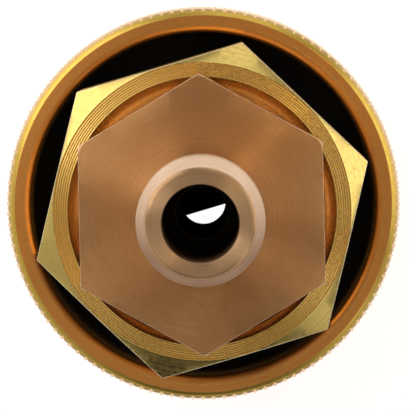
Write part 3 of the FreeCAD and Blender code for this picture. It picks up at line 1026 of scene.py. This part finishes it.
def body_tint(tree, colour):
    """Corner chamfers painted paler as a highlight, a recess painted bright above and dark as shade below,
    and grime in the arrow.
    """
    place = use_group(tree, FROM_AXIS)
    # painted highlight: the corner chamfers are painted paler
    chamfer = product(
        tree,
        between(tree, facing(tree, "True Normal")[2], 0.84, 0.89, 0.03),
        spread(tree, place["Radius"], BODY_FACE_R - 0.15, BODY_FACE_R - 0.05),
    )
    recess_floor = BODY_TOP - DISH_DEPTH
    recess = product(
        tree,
        spread(tree, place["Radius"], DISH_R - 0.05, DISH_R, 1, 0),
        spread(tree, place["Level"], recess_floor - 0.2, recess_floor),
    )
    # painted light and shade: the recess is painted bright above and dark on its lower side
    y = separate(tree, object_place(tree))[1]
    shaded_lower_side = spread(tree, maths(tree, "DIVIDE", y, MM), -4.5, 0.0, 1, 0)
    coats = [
        (chamfer, (0.92, 0.66, 0.19)),
        (recess, blend_colours(tree, shaded_lower_side, (1.0, 0.74, 0.34), (0.30, 0.15, 0.04))),
        # wear and painted highlight: the rounded upper edges are painted pale
        (worn_and_highlit_edges(tree, BODY_TOP), (0.95, 0.76, 0.42)),
    ]
    grime = arrow_grime(tree)
    coats.append((grime, (0.06, 0.035, 0.015)))
    return paint_over(tree, colour, coats), grime


# %% [markdown]
# ### Stains and wear on the waterway
#
# The tail is painted pale, and dark as shade on its lower side near its nose. The bores and the
# piston's end are painted nearly black as shade.

# %% The waterway's stains
# the nearly black colour painted as shade deep in the waterway
PAINTED_BORE_SHADE = (0.012, 0.008, 0.005)
PISTON_BORE_R = 2.1


def fitting_tint(tree, colour):
    """The tail is painted light, with painted shade on its lower side near the nose, and the waterway is
    painted dark as shade.
    """
    place = use_group(tree, FROM_AXIS)
    r, z = place["Radius"], place["Level"]
    _, facing_y, facing_z = facing(tree)
    # painted light and shade: the tail is pale where it faces up and dark where it faces down near the nose
    steep = spread(tree, facing_z, 0.5, 0.8, 1, 0)
    tail = product(tree, steep, spread(tree, z, HEX_TOP, HEX_TOP + 1))
    below_nose = spread(tree, z, TIP - 6.5, TIP - 2.4, 0.7, 0)
    lit_side = maths(tree, "MAXIMUM", spread(tree, facing_y, -0.55, 0.75), below_nose)
    tip = maths(tree, "SUBTRACT", spread(tree, z, TIP - 1, TIP - 0.8), tail)
    nose = maths(tree, "MAXIMUM", tip, 0.0)
    # painted shade: the bore is painted nearly black
    stain_and_shade_film = spread(tree, r, BORE_R + 0.04, BORE_R + 0.10, 1, 0)
    coats = [
        (tail, blend_colours(tree, lit_side, (0.21, 0.10, 0.04), (0.84, 0.62, 0.43))),
        (nose, (0.76, 0.46, 0.24)),
        # wear and painted highlight: the rounded upper edges are painted pale
        (worn_and_highlit_edges(tree, HEX_TOP), (0.95, 0.72, 0.52)),
        (stain_and_shade_film, PAINTED_BORE_SHADE),
    ]
    return paint_over(tree, colour, coats), stain_and_shade_film


def piston_tint(tree, colour):
    """The bore and the end of the piston are painted nearly black as shade too."""
    place = use_group(tree, FROM_AXIS)
    # painted shade: the piston's bore and end are painted nearly black
    bore = spread(tree, place["Radius"], PISTON_BORE_R + 0.05, PISTON_BORE_R + 0.1, 1, 0)
    end = spread(tree, place["Level"], CYLINDER_TOP - 0.5, CYLINDER_TOP - 0.3)
    stain_and_shade_film = maths(tree, "MAXIMUM", bore, end)
    return blend_colours(tree, stain_and_shade_film, colour, PAINTED_BORE_SHADE), stain_and_shade_film


# %% [markdown]
# ### The five brasses
#
# The body is yellow free-cutting brass, the fitting a pinker alloy with a much finer finish, and
# the nut lies between them. The inside parts are plainer, and the piston is honed smooth because
# it slides in rubber.

# %% Mix and give the brass
BODY_BRASS = turned_brass(
    "body_brass",
    fresh=(0.97, 0.67, 0.19),
    dull=(0.78, 0.49, 0.11),
    pitch=0.12,
    relief=0.8,
    roughness=(0.20, 0.28),
    anisotropy=0.5,
    specks=0.15,
    streaks=0.12,
    tint=body_tint,
    drawn_walls=True,
)
FITTING_BRASS = turned_brass(
    "fitting_brass",
    fresh=(0.86, 0.44, 0.175),
    dull=(0.66, 0.31, 0.11),
    pitch=0.05,
    relief=1.8,
    roughness=(0.26, 0.40),
    anisotropy=0.9,
    specks=0.15,
    tint=fitting_tint,
    drawn_walls=True,
)
NUT_BRASS = turned_brass(
    "nut_brass",
    fresh=(0.91, 0.61, 0.17),
    dull=(0.74, 0.44, 0.10),
    pitch=0.15,
    relief=1.0,
    roughness=(0.24, 0.40),
    specks=0.3,
    tint=nut_tint,
)
INNER_BRASS = turned_brass(
    "inner_brass",
    fresh=(0.84, 0.55, 0.20),
    dull=(0.62, 0.38, 0.11),
    pitch=0.2,
    relief=4.0,
    roughness=(0.25, 0.4),
)
PISTON_BRASS = turned_brass(
    "piston_brass",
    fresh=(0.86, 0.58, 0.24),
    dull=(0.70, 0.45, 0.15),
    pitch=0.08,
    relief=1.0,
    roughness=(0.12, 0.24),
    tint=piston_tint,
)
give(BODY_BRASS, "hexagon_body")
give(FITTING_BRASS, "outlet_hose_tail")
give(NUT_BRASS, "knurled_nut", "hose_thread")
give(INNER_BRASS, "inlet_tail", "seat_holder")
give(PISTON_BRASS, "piston_stem", "piston_head")

# %% [markdown]
# ## Steel, rubber and plastic
#
# The small parts are stainless steel, rubber, black nylon and white PTFE. Drawn wire is marked
# lengthways and the washer is cut from sheet, but at this size fine grain and a little variation
# in gloss tell them apart.

# %% The small parts' finishes
HAZE_SHARE, HAZE_SHADE = 0.35, 0.75
SCUFF_SHARE = 0.5
DUST_COLOUR = (0.34, 0.30, 0.25)


def plain_metal(name, colour, roughness, grain):
    """Drawn or polished steel: fine grain in its gloss, and a faint haze in its colour."""
    material, tree, shader = start_material(name)
    stain = use_group(tree, TARNISH, Patch_Scale=300.0, Speck_Scale=grain)
    hazed = [c * HAZE_SHADE for c in colour]
    haze = blend_colours(tree, product(tree, stain["Patches"], HAZE_SHARE), colour, hazed)
    join(tree, haze, shader.inputs["Base Color"])
    join(tree, spread(tree, stain["Patches"], 0, 1, *roughness), shader.inputs["Roughness"])
    shader.inputs["Metallic"].default_value = 1
    relief_from(tree, shader, stain["Specks"], 1e-6)
    return material


def moulded(name, colour, roughness, relief, dusty, shine=0.5):
    """Rubber or plastic: a fine moulded texture, scuffs and dust."""
    material, tree, shader = start_material(name)
    shader.inputs["Specular IOR Level"].default_value = shine
    stain = use_group(tree, TARNISH, Patch_Scale=220.0, Speck_Scale=2400.0)
    dust = use_group(tree, DUST)
    scuffed = [c * 1.5 + 0.002 for c in colour]
    worn = blend_colours(tree, product(tree, stain["Patches"], SCUFF_SHARE), colour, scuffed)
    dusted = blend_colours(tree, product(tree, dust["Dust"], dusty), worn, DUST_COLOUR)
    join(tree, dusted, shader.inputs["Base Color"])
    join(tree, spread(tree, stain["Patches"], 0, 1, *roughness), shader.inputs["Roughness"])
    noise = add(tree, "ShaderNodeTexNoise", Scale=4200.0, Detail=2.0)
    join(tree, object_place(tree), noise.inputs["Vector"])
    relief_from(tree, shader, noise.outputs["Fac"], relief * 1e-6)
    return material


STEEL = plain_metal("stainless_steel", (0.60, 0.59, 0.57), (0.22, 0.36), 3000.0)
HOSE_RUBBER = moulded("black_rubber", (0.018, 0.018, 0.019), (0.5, 0.7), 12.0, 0.25)
SEAL_RUBBER = moulded("seal_rubber", (0.012, 0.012, 0.013), (0.3, 0.5), 5.0, 0.1)
NYLON = moulded("black_nylon", (0.004, 0.003, 0.002), (0.6, 0.8), 6.0, 0.02, shine=0.12)
PTFE = moulded("white_ptfe", (0.78, 0.78, 0.75), (0.4, 0.55), 4.0, 0.2)
give(STEEL, "woven_screen", "screen_rim", "spring_shim", "wound_spring")
give(HOSE_RUBBER, "hose_washer")
give(SEAL_RUBBER, "tail_oring", "stem_oring", "outlet_oring", "head_oring", "seat_disc")
give(NYLON, "thrust_washer")
give(PTFE, "stem_backup_ring", "head_backup_ring")

# %% [markdown]
# ### The polished screw
#
# Deep in the bore the head of the seat's screw shines like a small moon. Its head is polished and
# very slightly dished. The dish is far too shallow to model, so it is relief, a square of the
# radius, and it is what gathers enough of the light overhead. Painted shade darkens the slot and
# one side.

# %% Polish the screw
HEAD_CURVE = 2 * 53 * MM  # twice the radius of the dish
SCREW_TOP = high("seat_screw")
SLOT_TURN = 16.6
SHADE_EDGE = -0.72 * MM  # the painted shade's edge runs beside the slot
SCREW_SHADE = (0.006, 0.005, 0.004)


def dish_the_head(material):
    """Gives the screw a slightly dished polished head, with painted shade in its slot and on one side."""
    tree = material.node_tree
    shader = tree.nodes["Principled BSDF"]
    place = use_group(tree, FROM_AXIS)
    dish = product(tree, place["Radius"], place["Radius"], MM * MM / HEAD_CURVE)
    bump = shader.inputs["Normal"].links[0].from_node
    bump.inputs["Distance"].default_value = 1.0
    join(tree, dish, bump.inputs["Height"])
    # painted shade: the slot and one side of the head are painted dark and dull
    slot = spread(tree, place["Level"], SCREW_TOP - 0.2, SCREW_TOP - 0.1, 1, 0)
    x, y, _ = separate(tree, object_place(tree))
    turn = math.radians(SLOT_TURN)
    past_slot = maths(tree, "SUBTRACT", product(tree, y, math.cos(turn)), product(tree, x, math.sin(turn)))
    painted_shade = maths(tree, "MAXIMUM", slot, spread(tree, past_slot, SHADE_EDGE, SHADE_EDGE + 0.02 * MM))
    polished = shader.inputs["Base Color"].links[0].from_socket
    join(tree, blend_colours(tree, painted_shade, polished, SCREW_SHADE), shader.inputs["Base Color"])
    join(tree, maths(tree, "SUBTRACT", 1.0, painted_shade), shader.inputs["Metallic"])
    gloss = shader.inputs["Roughness"].links[0].from_socket
    join(tree, maths(tree, "MAXIMUM", gloss, product(tree, painted_shade, 0.9)), shader.inputs["Roughness"])


POLISHED = plain_metal("polished_steel", (0.93, 0.93, 0.94), (0.02, 0.05), 5000.0)
dish_the_head(POLISHED)
give(POLISHED, "seat_screw")

# %% [markdown]
# ## The camera
#
# The camera looks down the waterway from the outlet end, a long lens a good way off, leaning a
# couple of degrees so that the tail's nose sits a little below the centre.

# %% Place the camera
VIEW_WIDTH = 35.96  # mm across the picture at the nut's rear face
DISTANCE = 400.0
LEAN, SWING = 2.55, 0.35  # degrees
AIM = Vector((0.16, -0.07, NUT_TOP)) * MM

direction = Vector((math.tan(math.radians(SWING)), math.tan(math.radians(LEAN)), 1)).normalized()
right = Vector((0, 1, 0)).cross(direction).normalized()
camera_data = bpy.data.cameras.new("camera")
camera_data.sensor_width = 36
camera_data.lens = camera_data.sensor_width * DISTANCE / VIEW_WIDTH
camera_data.clip_start, camera_data.clip_end = 0.01, 20
camera = bpy.data.objects.new("camera", camera_data)
camera.location = AIM + direction * DISTANCE * MM
camera.rotation_euler = Matrix((right, direction.cross(right), direction)).transposed().to_euler()
bpy.context.scene.collection.objects.link(camera)
bpy.context.scene.camera = camera
print(f"lens {camera_data.lens:.0f} mm at {DISTANCE:.0f} mm")

# %% [markdown]
# ## The floor
#
# A sheet of white paper. It also glows a little, as a light table does, which keeps it white
# beyond the reach of the panels.

# %% Floor
FLOOR_HALF = 1.5  # metres
FLOOR_GLOW = 0.72

floor_mesh = bmesh.new()
bmesh.ops.create_grid(floor_mesh, x_segments=1, y_segments=1, size=FLOOR_HALF)
floor_data = bpy.data.meshes.new("floor")
floor_mesh.to_mesh(floor_data)
floor_mesh.free()
floor = bpy.data.objects.new("floor", floor_data)
floor.location.z = -0.02 * MM
bpy.context.scene.collection.objects.link(floor)

paper, paper_tree, paper_shader = start_material("pale_paper")
fibre = add(paper_tree, "ShaderNodeTexNoise", Scale=900.0, Detail=3.0)
join(paper_tree, object_place(paper_tree), fibre.inputs["Vector"])
paper_white = blend_colours(paper_tree, fibre.outputs["Fac"], (0.90, 0.90, 0.90), (0.94, 0.94, 0.94))
join(paper_tree, paper_white, paper_shader.inputs["Base Color"])
paper_gloss = spread(paper_tree, fibre.outputs["Fac"], 0.3, 0.7, 0.8, 0.95)
join(paper_tree, paper_gloss, paper_shader.inputs["Roughness"])
join(paper_tree, paper_white, paper_shader.inputs["Emission Color"])
paper_shader.inputs["Emission Strength"].default_value = FLOOR_GLOW
floor_data.materials.append(paper)
print(f"floor: {2 * FLOOR_HALF:.0f} m across")

# %% [markdown]
# ## The lights
#
# Brass shows nothing but its surroundings, so the lights are panels placed for what each face
# should mirror: a small one overhead for the polished screw, large ones low all round except
# where the lower side stays dark for the corner chamfers, and small ones high up, whose light the
# turned faces draw out into soft rays.

# %% Lights
def panel(name, azimuth, elevation, size, radiance, distance=1.2, colour=(1, 1, 1)):
    """A soft panel that faces the part. azimuth is from +X, and radiance is how bright it looks."""
    light = bpy.data.lights.new(name, "AREA")
    width, height = size
    light.shape, light.size, light.size_y = "RECTANGLE", width, height
    light.energy = radiance * math.pi * width * height
    light.color = colour
    holder = bpy.data.objects.new(name, light)
    a, e = math.radians(azimuth), math.radians(elevation)
    towards = Vector((math.cos(a) * math.cos(e), math.sin(a) * math.cos(e), math.sin(e)))
    holder.location = Vector((0, 0, NUT_TOP * MM)) + towards * distance
    holder.rotation_euler = towards.to_track_quat("Z", "Y").to_euler()
    holder.visible_camera = False
    bpy.context.scene.collection.objects.link(holder)


panel("overhead", azimuth=262, elevation=88.6, size=(0.26, 0.16), radiance=1.0, distance=1.6)
panel("upper left", azimuth=138, elevation=36, size=(1.0, 0.95), radiance=1.35)
panel("right", azimuth=15, elevation=31, size=(0.9, 0.65), radiance=1.25)
panel("top", azimuth=77, elevation=30, size=(0.5, 0.6), radiance=0.85)
panel("lower right", azimuth=318, elevation=38, size=(0.4, 0.6), radiance=0.65)
panel("high left", azimuth=160, elevation=62, size=(0.2, 0.3), radiance=1.8)
panel("high right", azimuth=48, elevation=62, size=(0.07, 0.35), radiance=6.2, colour=(1.0, 0.80, 0.48))
panel("high lower right", azimuth=325, elevation=62, size=(0.2, 0.3), radiance=1.4)
panel("high lower left", azimuth=222, elevation=64, size=(0.34, 0.3), radiance=1.3)
panel("high bottom", azimuth=272, elevation=64, size=(0.3, 0.3), radiance=1.1)
print("panels:", ", ".join(light.name for light in bpy.data.lights))

# %% [markdown]
# ## The room
#
# A dim grey room fills in what the panels leave. It is darkest on the lower side and a little
# brighter at the left and right, so that no face is quite black and no two are quite alike.

# %% The room
world = bpy.data.worlds.new("grey room")
world.use_nodes = True
room = world.node_tree
look_x, look_y, _ = separate(room, add(room, "ShaderNodeTexCoord").outputs["Generated"])
upwards = spread(room, look_y, -0.75, 0.1, 0.02, 0.16)
leftwards = spread(room, look_x, -0.9, -0.25, 0.3, 0.0)
rightwards = spread(room, look_x, 0.3, 0.9, 0.0, 0.12)
background = room.nodes["Background"]
grey = maths(room, "ADD", upwards, maths(room, "ADD", leftwards, rightwards))
join(room, grey, background.inputs["Strength"])
background.inputs["Color"].default_value = (1.0, 1.0, 1.0, 1)
bpy.context.scene.world = world
bpy.context.scene.view_settings.view_transform = "Standard"
print("room:", world.name)
